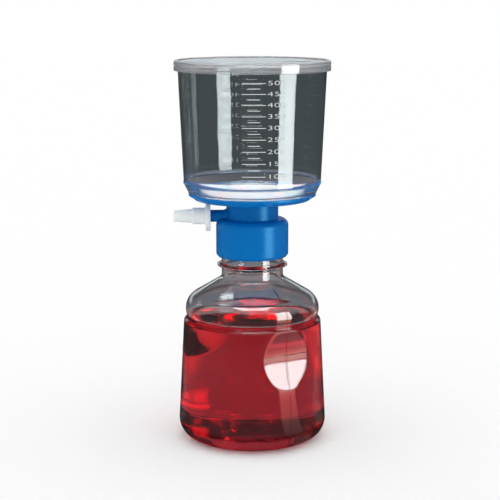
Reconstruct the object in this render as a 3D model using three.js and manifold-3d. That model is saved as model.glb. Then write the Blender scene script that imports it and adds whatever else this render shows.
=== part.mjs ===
// Vacuum filtration unit for about 500 mL: a clear funnel with a snap-on lid, a blue filter
// housing that screws on the bottle's neck, a hose adapter on its side arm, and a clear
// receiver bottle with red filtrate in it.
// Millimetres, +Z up. The origin is the middle of the bottle's base, and the arm points to -X.
import * as THREE from 'three';
import { mergeVertices } from 'three/addons/utils/BufferGeometryUtils.js';
import Module from 'manifold-3d';

const wasm = await Module();
wasm.setup();

// ---------------------------------------------------------------- driving dimensions

const SEGMENTS = 40;   // flats round a turned piece
const SMALL = 24;      // flats round the arm and what fits it
const SEAT = 0.05;     // gap between two faces that rest on each other

const bottle = {
  wall: 1.8,
  floor: 2.6,
  radius: 50.6,           // where the wall, carried down, would meet the base corner
  cornerWidth: 11,
  cornerHeight: 12.9,
  bodyHeight: 82,
  taper: 3.7,             // how much the radius shrinks from the base corner to the ledge
  ledge: 0.9,             // rounding of the body's top edge
  grooveDepth: 2.1,
  ledgeSlope: 1.6,        // height of the slope from the body's top edge to the groove
  shoulderSetback: 1.3,   // how far the shoulder's bulge stands in from the body's top
  shoulderRise: 7.7,      // of the bulge's widest level above the body's top
  shoulderArc: 12,
  shoulderSteepness: 59,  // degrees, of the shoulder's normal above the horizontal
  neckFillet: 4,
  neckRadius: 20.9,
  neckHeight: 33.1,       // from the fillet to the lip
  ringHeight: 6.3,        // of the transfer ring above the fillet
  ringReach: 3.15,
  ringHalfWidth: 2,
};
const footRing = { inner: 14, outer: 33, depth: 0.9 };   // shallow ring pressed in the base
const recess = {
  drop: 15.5,             // of its middle below the body's top
  depth: 3.5,
  radius: 56,             // of the rounded tool that leaves it, its axis level
  width: 60,              // of that tool
  azimuth: 28.5,          // degrees, from -Y towards +X
};
const fillHeight = 85;    // of the filtrate's surface
const filmGap = 0.3;      // between the filtrate and the bottle

const thread = {
  pitch: 4.2,
  turns: 1.5,
  depth: 1.3,
  rootWidth: 1.7,
  crestWidth: 0.7,
  clearance: 0.35,
  start: 17.5,            // of the neck's thread above the fillet
};
const gasket = { thickness: 1.6, lift: 0.1, inset: 1.2 };

const housing = {
  collarWall: 2,
  collarDepth: 22.6,      // of the socket, from its mouth to its ceiling
  collarTop: 3,           // thickness of the ceiling
  collarCorner: 4.4,
  mouthRound: 2.3,
  stemRadius: 17.6,
  stemWall: 1.8,
  stemLength: 11.9,
  floor: 1.6,             // of the dish
  floorFall: 1.5,         // from the ledge of the dish down to the drain
  land: 4.6,              // ring round the membrane that carries the funnel
  rimHeight: 1.9,
  drainRadius: 5,
  drainWall: 1.6,
  drainLength: 15,
  armGap: 3.85,           // from the collar's side to the shoulder of the spigot
  armStep: 0.5,           // height of that shoulder
  armBore: 2,
  armSink: 2.4,           // how far the arm is sunk in the collar's top
  spigotRadius: 3.6,
  spigotLength: 8.2,
};
const membrane = { radius: 37.5, thickness: 0.4 };
const plate = {
  thickness: 1.5,
  ridge: 0.9,
  ridgeWidth: 1.6,
  ridgeRadii: [12, 22.5, 33],
  holeRadius: 1.5,
  holesPerRing: 6,
  clearance: 0.3,
};

const funnel = {
  wall: 1.6,
  floor: 1.5,
  overlap: 0.9,           // of the floor ring over the membrane's edge
  chamferWidth: 3.2,
  chamferHeight: 6.4,
  bead: 0.5,
  height: 86.6,
  draft: 2.65,            // degrees
  innerCorner: 9,         // height of the inner corner above the foot
  rim: 0.9,
  rimHeight: 2.8,
};
const lid = {
  plate: 1.3,
  skirt: 1.2,
  skirtDepth: 5,
  clearance: 0.3,
  raisedRim: 0.6,
  raisedRimWidth: 2,
  plugRing: 1.1,          // wall of the ring that centres the lid in the funnel
  plugDepth: 1.6,
  plugGap: 0.5,
  lugs: 8,
  lugWidth: 6,
  lugHeight: 1.1,
  lugReach: 0.2,
};
const adapter = {
  clearance: 0.15,
  flangeRadius: 10.3,
  flange: 3.2,
  barrelWall: 1.85,
  barrelLength: 12.2,     // flange included
  tailRadius: 4.7,        // where the tapered tail leaves the barrel
  tipRadius: 3.75,
  length: 25,
  bore: 1.9,
  mouthRound: 0.7,
};
const plug = { length: 3.6, squeeze: 0.1 };

const COLOURS = {
  clear: { color: 0xd9e2e6, roughness: 0.08, metalness: 0, transparent: true, opacity: 0.35 },
  blue: { color: 0x0a64ad, roughness: 0.42, metalness: 0 },
  white: { color: 0xe3ecec, roughness: 0.45, metalness: 0 },
  membrane: { color: 0xf2f3f2, roughness: 0.85, metalness: 0 },
  seal: { color: 0xc9c5ba, roughness: 0.7, metalness: 0 },
  cotton: { color: 0xf3f1ea, roughness: 1, metalness: 0 },
  red: { color: 0x8c1620, roughness: 0.05, metalness: 0, transparent: true, opacity: 0.85 },
};

// ---------------------------------------------------------------- shared shape helpers

const degrees = Math.PI / 180;

// Points on an arc of an ellipse, angles in degrees from the outward radius.
function arc(r, z, width, height, from, to, steps) {
  return Array.from({ length: steps + 1 }, (_, i) => {
    const angle = (from + ((to - from) * i) / steps) * degrees;
    return [r + width * Math.cos(angle), z + height * Math.sin(angle)];
  });
}

const roundArc = (r, z, radius, from, to, steps) => arc(r, z, radius, radius, from, to, steps);

// A closed mesh, as a solid that can be cut and joined.
function solid(geometry) {
  const bare = geometry.clone();
  bare.deleteAttribute('normal');
  bare.deleteAttribute('uv');
  const merged = mergeVertices(bare, 1e-4);
  const corners = [];
  for (let i = 0; i < merged.index.count; i += 3) {
    const [a, b, c] = [0, 1, 2].map((k) => merged.index.getX(i + k));
    if (a !== b && b !== c && c !== a) corners.push(a, b, c);
  }
  return new wasm.Manifold(new wasm.Mesh({
    numProp: 3,
    vertProperties: Float32Array.from(merged.attributes.position.array),
    triVerts: Uint32Array.from(corners),
  }));
}

// A piece turned about +Z. The profile is a list of [radius, height], run anticlockwise, and
// either starts and ends on the axis or closes on itself.
function turned(profile, segments = SEGMENTS) {
  const closed = profile[0][0] > 0 ? [...profile, profile[0]] : profile;
  const points = closed.map(([r, z]) => new THREE.Vector2(r, z));
  return solid(new THREE.LatheGeometry(points, segments).rotateX(Math.PI / 2));
}

// A round bar along -X at height z, from one distance off the axis to another.
function sideBar(radius, from, to, z) {
  const bar = new THREE.CylinderGeometry(radius, radius, to - from, SMALL);
  return solid(bar.rotateZ(Math.PI / 2).translate(-(from + to) / 2, 0, z));
}

// A screw thread: a straight bar of the thread's section, wrapped round the axis. The section
// is given as [height, distance out from the wall], and fades into the wall at both ends.
function wrappedThread(section, wallRadius, z) {
  const shape = new THREE.Shape(section.map(([along, out]) => new THREE.Vector2(along, out)));
  const steps = Math.round(24 * thread.turns);
  const bar = new THREE.ExtrudeGeometry(shape, { depth: 1, steps, bevelEnabled: false });
  const at = bar.attributes.position;
  for (let i = 0; i < at.count; i += 1) {
    const run = at.getZ(i);
    const fade = Math.min(1, 0.25 + 9 * Math.min(run, 1 - run));
    const angle = run * thread.turns * 2 * Math.PI;
    const radius = wallRadius + at.getY(i) * fade;
    at.setXYZ(
      i,
      radius * Math.cos(angle),
      radius * Math.sin(angle),
      z + at.getX(i) * fade + run * thread.turns * thread.pitch,
    );
  }
  return solid(bar);
}

function threadSection(side) {
  const root = 0.4;       // how far the section is sunk into its wall
  const { rootWidth, crestWidth, depth } = thread;
  return [
    [-rootWidth / 2, -side * root],
    [rootWidth / 2, -side * root],
    [crestWidth / 2, side * depth],
    [-crestWidth / 2, side * depth],
  ];
}

function piece(name, shape, look) {
  const mesh = shape.getMesh();
  const geometry = new THREE.BufferGeometry();
  geometry.setAttribute('position', new THREE.Float32BufferAttribute(mesh.vertProperties, 3));
  geometry.setIndex(new THREE.Uint32BufferAttribute(mesh.triVerts, 1));
  geometry.computeVertexNormals();
  const made = new THREE.Mesh(geometry, new THREE.MeshStandardMaterial(COLOURS[look]));
  made.name = name;
  return made;
}

// ---------------------------------------------------------------- sizes that follow

const bodyTopRadius = bottle.radius - bottle.taper;
const shoulder = {
  r: bodyTopRadius - bottle.shoulderSetback - bottle.shoulderArc,
  z: bottle.bodyHeight + bottle.shoulderRise,
};
const shoulderNormal = {
  r: Math.cos(bottle.shoulderSteepness * degrees),
  z: Math.sin(bottle.shoulderSteepness * degrees),
};
// The neck's fillet is tangent to the straight flank that leaves the shoulder's arc.
const filletRadius = bottle.neckRadius + bottle.neckFillet;
const neckStart = (shoulder.r * shoulderNormal.r + shoulder.z * shoulderNormal.z
  + bottle.shoulderArc + bottle.neckFillet - filletRadius * shoulderNormal.r) / shoulderNormal.z;
const lipHeight = neckStart + bottle.neckHeight;
const neckBore = bottle.neckRadius - bottle.wall;

const collarBore = bottle.neckRadius + thread.depth + thread.clearance;
const collarRadius = collarBore + housing.collarWall;
const ceilingHeight = lipHeight + SEAT + gasket.thickness + gasket.lift;

// Heights above the collar's ceiling.
const stemTop = housing.collarTop + housing.stemLength;
const ledgeHeight = stemTop + housing.floor + housing.floorFall;
const plateHeight = plate.thickness + plate.ridge;
const landHeight = ledgeHeight + plateHeight + membrane.thickness + 2 * SEAT;
const armRadius = housing.spigotRadius + housing.armStep;
const armHeight = housing.collarTop + armRadius - housing.armSink;
const armLength = collarRadius + housing.armGap;
const dishRecess = membrane.radius + 0.9;
const dishRadius = dishRecess + housing.land;

// Heights above the funnel's foot.
const footRadius = dishRadius;
const funnelBottomRadius = footRadius + funnel.chamferWidth;
const funnelRadiusAt = (z) => funnelBottomRadius
  + (z - funnel.chamferHeight) * Math.tan(funnel.draft * degrees);
const rimRadius = funnelRadiusAt(funnel.height) + funnel.rim;

// ---------------------------------------------------------------- receiver bottle

// The bottle's outline from the base to the lip, moved inwards by an inset, with its floor at
// the height given: the same centres serve the outside, the inside and the filtrate.
function bottleOutline(inset, floor) {
  const { radius, cornerWidth, cornerHeight, bodyHeight, ledge } = bottle;
  const groove = bodyTopRadius - bottle.grooveDepth - inset;
  const bulge = bottle.shoulderArc - inset;
  const grooveTop = -Math.acos((groove - shoulder.r) / bulge) / degrees;
  return [
    [0, floor],
    ...arc(radius - cornerWidth, cornerHeight, cornerWidth - inset, cornerHeight - floor, -90, -4, 5),
    ...roundArc(bodyTopRadius - ledge - inset, bodyHeight - ledge, ledge, 0, 80, 1),
    [groove, bodyHeight + bottle.ledgeSlope],
    ...roundArc(shoulder.r, shoulder.z, bulge, grooveTop, bottle.shoulderSteepness, 5),
    ...roundArc(filletRadius, neckStart, bottle.neckFillet + inset,
      180 + bottle.shoulderSteepness, 180, 2),
  ];
}

// The rounded tool that presses one thumb recess, grown by an offset for the inside.
function recessTool(offset, turn) {
  const { radius, depth, drop, width, azimuth } = recess;
  const height = bottle.bodyHeight - drop;
  const share = (height - bottle.cornerHeight) / (bottle.bodyHeight - bottle.cornerHeight);
  const wallRadius = bottle.radius - bottle.taper * share;
  const tool = new THREE.CylinderGeometry(radius + offset, radius + offset, width, 144);
  tool.rotateZ(Math.PI / 2).translate(0, -(wallRadius - depth + radius), height);
  return solid(tool.rotateZ((azimuth + turn) * degrees));
}

function withRecesses(shape, offset) {
  return shape.subtract(recessTool(offset, 0)).subtract(recessTool(offset, 180));
}

function receiverBottle() {
  const { neckRadius, wall, floor, ringReach, ringHalfWidth } = bottle;
  const outside = turned([
    ...bottleOutline(0, 0),
    [neckRadius, lipHeight - 0.6],
    [neckRadius - 0.6, lipHeight],
    [0, lipHeight],
  ]);
  const inside = turned([
    ...bottleOutline(wall, floor),
    [neckBore, lipHeight + 1],
    [0, lipHeight + 1],
  ]);
  const ringZ = neckStart + bottle.ringHeight;
  const ring = turned([
    [neckRadius - wall / 2, ringZ - ringHalfWidth],
    [neckRadius, ringZ - ringHalfWidth],
    [neckRadius + ringReach, ringZ - 0.25],
    [neckRadius + ringReach, ringZ + 0.25],
    [neckRadius, ringZ + ringHalfWidth],
    [neckRadius - wall / 2, ringZ + ringHalfWidth],
  ]);
  const pressed = turned([
    [footRing.inner, -1],
    [footRing.outer, -1],
    [footRing.outer, 0],
    [footRing.outer - 2, footRing.depth],
    [footRing.inner + 2, footRing.depth],
    [footRing.inner, 0],
  ]);
  const screw = wrappedThread(threadSection(1), neckRadius, neckStart + thread.start);
  return withRecesses(outside, 0)
    .subtract(withRecesses(inside, wall))
    .subtract(pressed)
    .add(ring)
    .add(screw);
}

function filtrate() {
  const inset = bottle.wall + filmGap;
  const brim = bottleOutline(inset, bottle.floor + filmGap);
  const full = turned([...brim, [0, brim[brim.length - 1][1]]]);
  const above = new THREE.BoxGeometry(4 * bottle.radius, 4 * bottle.radius, lipHeight)
    .translate(0, 0, fillHeight + lipHeight / 2);
  return withRecesses(full, inset).subtract(solid(above));
}

function neckGasket() {
  const outer = collarBore - 0.5;
  const inner = neckBore - gasket.inset;
  const { thickness } = gasket;
  return turned([
    [inner, 0.3],
    [inner + 0.3, 0],
    [outer, 0],
    [outer, thickness - 0.4],
    [outer - 0.4, thickness],
    [inner, thickness],
  ]);
}

// ---------------------------------------------------------------- filter housing

// One moulding, turned as one section: collar, stem, dish and drain. Heights are above the
// collar's ceiling, which seats on the gasket.
function housingSection() {
  const { collarDepth, collarTop, collarCorner, mouthRound, stemRadius, stemWall } = housing;
  const { drainRadius, drainWall, drainLength, floor, rimHeight } = housing;
  const mouth = -collarDepth;
  const stemBore = stemRadius - stemWall;
  const drainTop = stemTop + floor;
  return [
    [collarBore + 0.7, mouth],
    ...roundArc(collarRadius - mouthRound, mouth + mouthRound, mouthRound, -60, 0, 3),
    ...roundArc(collarRadius - collarCorner, collarTop - collarCorner, collarCorner, 0, 82, 4),
    ...roundArc(stemRadius + 1, collarTop + 1.2, 1, 262, 180, 2),
    ...roundArc(stemRadius + 0.8, stemTop - 0.8, 0.8, 180, 90, 1),
    [dishRecess + 0.4, ledgeHeight - floor],
    [dishRadius - 1.4, landHeight - rimHeight],
    [dishRadius - 0.3, landHeight - rimHeight],
    [dishRadius, landHeight - rimHeight + 0.3],
    [dishRadius, landHeight],
    [dishRecess, landHeight],
    [dishRecess, ledgeHeight],
    [dishRecess - 2.2, ledgeHeight],
    [dishRecess - 2.6, ledgeHeight - 0.5],
    [drainRadius + 1, drainTop],
    [drainRadius, drainTop - 0.6],
    [drainRadius, stemTop - drainLength],
    [drainRadius + 0.7, stemTop - drainLength],
    [drainRadius + drainWall, stemTop - drainLength + 3],
    [drainRadius + drainWall, stemTop],
    [stemBore - 1, stemTop],
    [stemBore, stemTop - 1],
    [stemBore, 0],
    [collarBore, 0],
    [collarBore, mouth + 1],
  ];
}

function filterHousing() {
  const { armBore, spigotRadius, spigotLength } = housing;
  const { stemRadius, stemWall } = housing;
  const stemMiddle = stemRadius - stemWall / 2;
  const spigotEnd = armLength + spigotLength;
  // The collar's thread runs half a pitch under the neck's.
  const threadStart = neckStart + thread.start - thread.pitch / 2 - ceilingHeight;
  return turned(housingSection())
    .add(wrappedThread(threadSection(-1), collarBore, threadStart))
    .add(sideBar(armRadius, stemMiddle, armLength, armHeight))
    .add(sideBar(spigotRadius, stemMiddle, spigotEnd, armHeight))
    .subtract(sideBar(armBore, stemRadius - 2 * stemWall, spigotEnd + 1, armHeight));
}

function supportPlate() {
  const { thickness, ridge, ridgeWidth, ridgeRadii, holeRadius, holesPerRing } = plate;
  const radius = dishRecess - plate.clearance;
  const ridges = [...ridgeRadii].reverse().flatMap((r) => [
    [r + ridgeWidth / 2, thickness],
    [r + ridgeWidth / 2 - 0.3, thickness + ridge],
    [r - ridgeWidth / 2 + 0.3, thickness + ridge],
    [r - ridgeWidth / 2, thickness],
  ]);
  const rim = [[radius, 0], [radius, thickness + ridge], [radius - 1, thickness + ridge]];
  let made = turned([[0, 0], ...rim, [radius - 1.3, thickness], ...ridges, [0, thickness]], 32);
  for (let ring = 0; ring + 1 < ridgeRadii.length; ring += 1) {
    const between = (ridgeRadii[ring] + ridgeRadii[ring + 1]) / 2;
    for (let i = 0; i < holesPerRing; i += 1) {
      const angle = ((i + ring / 2) / holesPerRing) * 2 * Math.PI;
      const hole = new THREE.CylinderGeometry(holeRadius, holeRadius, 4 * thickness, 8)
        .rotateX(Math.PI / 2)
        .translate(between * Math.cos(angle), between * Math.sin(angle), 0);
      made = made.subtract(solid(hole));
    }
  }
  return made;
}

function membraneDisc() {
  const { radius, thickness } = membrane;
  return turned([[0, 0], [radius, 0], [radius, thickness], [0, thickness]]);
}

// ---------------------------------------------------------------- funnel and lid

function funnelBody() {
  const { wall, floor, chamferHeight, bead, height, innerCorner, rim, rimHeight } = funnel;
  const floorInner = membrane.radius - funnel.overlap;
  return turned([
    [floorInner, 0],
    [footRadius, 0],
    [funnelBottomRadius, chamferHeight],
    [funnelBottomRadius + bead, chamferHeight + 0.5],
    [funnelRadiusAt(chamferHeight + 1.2), chamferHeight + 1.2],
    [funnelRadiusAt(height - rimHeight - rim), height - rimHeight - rim],
    [rimRadius, height - rimHeight],
    [rimRadius, height - 0.6],
    [rimRadius - 0.6, height],
    [funnelRadiusAt(height) - wall, height],
    [funnelRadiusAt(innerCorner) - wall, innerCorner],
    [floorInner + 3.6, floor + 0.4],
    [floorInner + 2.4, floor],
    [floorInner, floor],
  ]);
}

function lidShell() {
  const { skirt, skirtDepth, clearance, raisedRim, raisedRimWidth } = lid;
  const { plugRing, plugDepth, plugGap, lugs, lugWidth, lugHeight, lugReach } = lid;
  const inner = rimRadius + clearance;
  const outer = inner + skirt;
  const ring = funnelRadiusAt(funnel.height) - funnel.wall - plugGap;
  const top = lid.plate;
  let made = turned([
    [0, 0],
    [ring - plugRing, 0],
    [ring - plugRing, -plugDepth],
    [ring - 0.4, -plugDepth],
    [ring, 0],
    [inner, 0],
    [inner, -skirtDepth],
    [outer - 0.4, -skirtDepth],
    [outer, -skirtDepth + 0.6],
    ...roundArc(outer - 0.9, top + raisedRim - 0.9, 0.9, 0, 90, 3),
    [outer - raisedRimWidth, top + raisedRim],
    [outer - raisedRimWidth - 0.7, top],
    [0, top],
  ]);
  for (let i = 0; i < lugs; i += 1) {
    const lug = new THREE.BoxGeometry(lugWidth, lugReach + skirt / 2, lugHeight)
      .translate(0, -(inner - lugReach + (lugReach + skirt / 2) / 2), lugHeight / 2 - skirtDepth + 0.2)
      .rotateZ(((i + 0.5) / lugs) * 2 * Math.PI);
    made = made.add(solid(lug));
  }
  return made;
}

// ---------------------------------------------------------------- hose adapter

// Both are turned about the arm's axis, with height 0 at the arm's shoulder.
function hoseAdapter() {
  const { flangeRadius, flange, barrelWall, barrelLength, tailRadius } = adapter;
  const { tipRadius, length, bore, mouthRound, clearance } = adapter;
  const socket = housing.spigotRadius + clearance;
  const barrelRadius = socket + barrelWall;
  const socketDepth = housing.spigotLength + plug.length + 2 * SEAT + 0.4;
  return turned([
    [socket + 0.3, SEAT],
    [flangeRadius - 0.4, SEAT],
    [flangeRadius, 0.4],
    [flangeRadius, flange - 0.4],
    [flangeRadius - 0.4, flange],
    [barrelRadius + 0.5, flange],
    [barrelRadius, flange + 0.5],
    [barrelRadius, barrelLength - 0.4],
    [barrelRadius - 0.4, barrelLength],
    [tailRadius, barrelLength],
    ...roundArc(tipRadius - mouthRound, length - mouthRound, mouthRound, 8, 90, 3),
    [bore, length],
    [bore, socketDepth + 0.8],
    [socket - 0.2, socketDepth],
    [socket, socketDepth - 0.2],
    [socket, SEAT + 0.3],
  ], SMALL);
}

function portPlug() {
  const radius = housing.spigotRadius + adapter.clearance - plug.squeeze;
  const start = housing.spigotLength + 2 * SEAT;
  const end = start + plug.length;
  return turned([
    [0, start],
    [radius - 0.4, start],
    [radius, start + 0.4],
    [radius, end - 0.4],
    [radius - 0.4, end],
    [0, end],
  ], 20);
}

// ---------------------------------------------------------------- assembly

const unit = new THREE.Group();
unit.add(piece('receiver_bottle', receiverBottle(), 'clear'));
unit.add(piece('filtrate', filtrate(), 'red'));

const seal = piece('neck_gasket', neckGasket(), 'seal');
seal.position.z = lipHeight + SEAT;
unit.add(seal);

const upper = new THREE.Group();
upper.position.z = ceilingHeight;
upper.add(piece('filter_housing', filterHousing(), 'blue'));
unit.add(upper);

const drain = piece('support_plate', supportPlate(), 'white');
drain.position.z = ledgeHeight + SEAT;
upper.add(drain);

const disc = piece('membrane', membraneDisc(), 'membrane');
disc.position.z = ledgeHeight + SEAT + plateHeight + SEAT;
upper.add(disc);

const chamber = new THREE.Group();
chamber.position.z = landHeight + SEAT;
chamber.add(piece('funnel', funnelBody(), 'clear'));
upper.add(chamber);

const cover = piece('lid', lidShell(), 'clear');
cover.position.z = funnel.height + SEAT;
chamber.add(cover);

const nozzle = new THREE.Group();
nozzle.position.set(-armLength, 0, armHeight);
nozzle.rotation.y = -Math.PI / 2;
nozzle.add(piece('hose_adapter', hoseAdapter(), 'white'));
nozzle.add(piece('port_plug', portPlug(), 'cotton'));
upper.add(nozzle);

export default unit;
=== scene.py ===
import math

import bpy
import numpy as np
from bpy.props import FloatProperty, FloatVectorProperty, IntProperty, PointerProperty
from bpy.types import Operator, Panel, PropertyGroup
from mathutils import Euler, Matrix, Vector


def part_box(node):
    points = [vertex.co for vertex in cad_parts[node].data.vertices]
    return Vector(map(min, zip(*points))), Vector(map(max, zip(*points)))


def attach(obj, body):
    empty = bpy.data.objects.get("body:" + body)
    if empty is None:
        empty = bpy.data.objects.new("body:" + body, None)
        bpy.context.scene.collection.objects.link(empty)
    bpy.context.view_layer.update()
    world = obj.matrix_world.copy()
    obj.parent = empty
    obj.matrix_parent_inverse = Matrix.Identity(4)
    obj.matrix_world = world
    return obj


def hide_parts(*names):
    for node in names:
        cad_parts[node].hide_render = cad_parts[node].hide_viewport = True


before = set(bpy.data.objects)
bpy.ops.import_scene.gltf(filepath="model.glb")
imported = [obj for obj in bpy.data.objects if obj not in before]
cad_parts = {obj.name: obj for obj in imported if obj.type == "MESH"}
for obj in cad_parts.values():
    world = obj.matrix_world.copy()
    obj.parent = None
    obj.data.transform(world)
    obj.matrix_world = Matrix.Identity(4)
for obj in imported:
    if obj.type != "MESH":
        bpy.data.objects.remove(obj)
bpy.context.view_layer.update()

bl_info = {
    "name": "Vacuum Filtration Unit",
    "version": (1, 0, 0),
    "blender": (4, 5, 0),
    "location": "View3D > Sidebar > Filtration",
    "description": "Shapes and finishes a bottle-top vacuum filtration unit on its packed frame",
    "category": "Add Mesh",
}

MM = 0.001
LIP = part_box("receiver_bottle")[1].z / MM          # heights in millimetres
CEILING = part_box("neck_gasket")[1].z / MM + 0.1
FUNNEL_FOOT, FUNNEL_TOP = (corner.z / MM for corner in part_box("funnel"))
MEMBRANE_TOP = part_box("membrane")[1].z / MM
PORT_TIP, PORT_FACE = (-corner.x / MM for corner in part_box("hose_adapter"))
PORT_HEIGHT = sum(corner.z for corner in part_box("hose_adapter")) / 2 / MM
CORNER_TOP = 12.9            # where the bottle's base corner meets its wall
SEAT = 0.05                  # gap between two faces that rest on each other
THREAD_ROWS = 44


# ---- settings

def length(name, description, millimetres):
    """A length setting, shown in the scene's units."""
    return FloatProperty(
        name=name, description=description, default=millimetres * MM, min=0.0,
        precision=5, subtype="DISTANCE", unit="LENGTH",
    )


def turn(name, description, degrees):
    """An angle setting, shown in degrees."""
    return FloatProperty(
        name=name, description=description, default=math.radians(degrees),
        subtype="ANGLE", unit="ROTATION",
    )


def number(name, description, default):
    """A plain setting, whole if its default is."""
    kind = IntProperty if isinstance(default, int) else FloatProperty
    return kind(name=name, description=description, default=default, min=0)


def colour(name, description, default):
    """A linear colour setting."""
    return FloatVectorProperty(
        name=name, description=description, default=default, size=3, min=0.0, max=1.0,
        subtype="COLOR",
    )


class BottleSettings(PropertyGroup):
    wall: length("Wall", "Thickness of the bottle's wall", 1.8)
    floor: length("Floor", "Thickness of the bottle's base", 2.6)
    base_radius: length("Base radius", "Radius of the wall, carried down to the base corner", 50.6)
    top_radius: length("Body top radius", "Radius at the top of the tapered body", 46.9)
    body_height: length("Body height", "Height of the edge where the body ends", 82)
    neck_radius: length("Neck radius", "Outside radius of the neck", 20.9)
    recess_depth: length("Recess depth", "Depth of the two thumb recesses", 3.5)
    recess_height: length("Recess height", "Height of the middle of the recesses", 66.5)
    recess_tool: length("Recess roundness", "Radius of the round tool that leaves a recess", 56)
    recess_turn: turn("Recess direction", "Direction of one recess, from -Y towards +X", 28.5)
    tint: colour("Tint", "Colour of light that passes the plastic", (0.985, 0.99, 0.985))


class FiltrateSettings(PropertyGroup):
    level: length("Level", "Height of the liquid's surface", 85)
    bite: length("Wetting", "How far the liquid reaches into the wall, to leave no air", 0.12)
    meniscus: length("Meniscus", "How far the surface climbs at the wall", 0.7)
    colour: colour("Colour", "Colour of the light that the liquid lets through", (0.98, 0.05, 0.2))
    strength: number("Strength", "How strongly the liquid takes up light, per metre", 40.0)
    bubbles: number("Bubbles", "Bubbles on the surface", 17)


class FunnelSettings(PropertyGroup):
    wall: length("Wall", "Thickness of the funnel's wall", 1.6)
    foot_radius: length("Foot radius", "Radius of the foot that stands on the housing", 43)
    bottom_radius: length("Bottom radius", "Radius above the chamfered foot", 46.2)
    chamfer: length("Chamfer height", "Height of the chamfered foot", 6.4)
    draft: turn("Draft", "Slant of the wall", 2.65)
    hole: length("Floor hole", "Radius of the hole in the floor ring", 36.6)
    tint: colour("Tint", "Colour of light that passes the plastic", (0.985, 0.99, 0.99))


class LidSettings(PropertyGroup):
    panel: length("Panel", "Thickness of the lid's panel", 1.3)
    skirt: length("Skirt", "Thickness of the skirt", 1.2)
    skirt_depth: length("Skirt depth", "How far the skirt reaches down", 5)
    lugs: number("Lugs", "Snap lugs inside the skirt", 8)
    tint: colour("Tint", "Colour of light that passes the plastic", (0.97, 0.975, 0.985))


class HousingSettings(PropertyGroup):
    collar_radius: length("Collar radius", "Outside radius of the threaded collar", 24.55)
    collar_bore: length("Collar bore", "Inside radius of the threaded collar", 22.55)
    collar_depth: length("Collar depth", "Depth of the socket over the neck", 22.6)
    stem_radius: length("Stem radius", "Outside radius of the stem under the dish", 17.6)
    dish_radius: length("Dish radius", "Radius of the dish that carries the funnel", 43)
    arm_radius: length("Arm radius", "Radius of the side arm", 4.1)
    arm_bore: length("Arm bore", "Radius of the hole through the side arm", 2)
    colour: colour("Colour", "Colour of the moulded plastic", (0.0, 0.165, 0.53))


class AdapterSettings(PropertyGroup):
    flange_radius: length("Flange radius", "Radius of the finger flange", 10.3)
    barrel_radius: length("Barrel radius", "Radius of the barrel behind the flange", 5.6)
    tail_radius: length("Tail radius", "Radius of the tapered tail at the barrel", 4.7)
    tip_radius: length("Tip radius", "Radius of the tail at its tip", 3.75)
    bore: length("Bore", "Radius of the hole through the tail", 1.9)
    colour: colour("Colour", "Colour of the moulded plastic", (0.88, 0.93, 0.93))


class PrintSettings(PropertyGroup):
    long_mark: length("Long mark", "Length of the mark at each 50 mL", 15.6)
    short_mark: length("Short mark", "Length of the mark between two figures", 8)
    stroke: length("Stroke", "Thickness of a printed line", 0.42)
    figure_height: length("Figure height", "Height of the printed figures", 3.0)
    front_turn: turn("Front turn", "Turn of the front marks from -Y towards +X", -1.3)
    back_turn: turn("Back turn", "Turn of the back marks from +Y towards -X", -2.0)
    ink: length("Ink", "Thickness of the printed ink", 0.03)
    colour: colour("Colour", "Colour of the ink", (0.8, 0.82, 0.82))


class DiscSettings(PropertyGroup):
    radius: length("Membrane radius", "Radius of the filter membrane", 37.5)
    thickness: length("Membrane thickness", "Thickness of the filter membrane", 0.4)
    colour: colour("Membrane colour", "Colour of the dry membrane", (0.86, 0.87, 0.88))


class StudioSettings(PropertyGroup):
    lens: number("Lens", "Focal length in millimetres, on a 36 mm sensor", 97.92)
    distance: length("Camera distance", "From the unit's axis, along the floor", 910.94)
    camera_height: length("Camera height", "Of the camera above the floor", 301.14)
    azimuth: turn("Azimuth", "Direction of the camera, from -Y towards +X", -2.5)
    pitch: turn("Pitch", "How far the camera looks down", 10.68)
    yaw: turn("Yaw", "How far the camera looks past the axis", 0.097)
    surround: colour("Dim surround", "What clear and shiny parts pick up of the room",
                     (0.056, 0.068, 0.073))
    key_turn: turn("Key light direction", "From the camera towards +X, round the unit", 52.7)
    key: number("Key light", "Brightness of the tall narrow key light", 7.0)


class UnitSettings(PropertyGroup):
    bottle: PointerProperty(type=BottleSettings)
    filtrate: PointerProperty(type=FiltrateSettings)
    funnel: PointerProperty(type=FunnelSettings)
    lid: PointerProperty(type=LidSettings)
    housing: PointerProperty(type=HousingSettings)
    adapter: PointerProperty(type=AdapterSettings)
    print: PointerProperty(type=PrintSettings)
    disc: PointerProperty(type=DiscSettings)
    studio: PointerProperty(type=StudioSettings)


def millimetres(group, *names):
    """The named lengths of a settings group, in millimetres."""
    return [getattr(group, name) / MM for name in names]


# ---- outlines

def sweep(radius, height, width, rise, start, end, count):
    """Points of an elliptical arc, angles in degrees from the outward radius: centre + (width cos
    a, rise sin a)."""
    angle = np.radians(np.linspace(start, end, count))
    return np.stack([radius + width * np.cos(angle), height + rise * np.sin(angle)], -1)


def fillet(before, corner, after, radius):
    """The arc that touches both sides of a corner. Its centre lies on the line that halves the
    corner, radius / sin(half angle) from it."""
    sides = [before - corner, after - corner]
    lengths = [np.linalg.norm(side) for side in sides]
    a, b = (side / size for side, size in zip(sides, lengths))
    half = math.acos(np.clip(a @ b, -1, 1)) / 2
    radius = min(radius, 0.48 * min(lengths) * math.tan(half))
    reach = radius / math.tan(half)
    centre = corner + (a + b) / np.linalg.norm(a + b) * radius / math.sin(half)
    first, last = corner + a * reach - centre, corner + b * reach - centre
    start = math.atan2(first[1], first[0])
    swing = (math.atan2(last[1], last[0]) - start + math.pi) % (2 * math.pi) - math.pi
    count = max(3, math.ceil(abs(swing) / math.radians(10)) + 1)
    angle = start + swing * np.linspace(0, 1, count)
    return centre + radius * np.stack([np.cos(angle), np.sin(angle)], -1)


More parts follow.
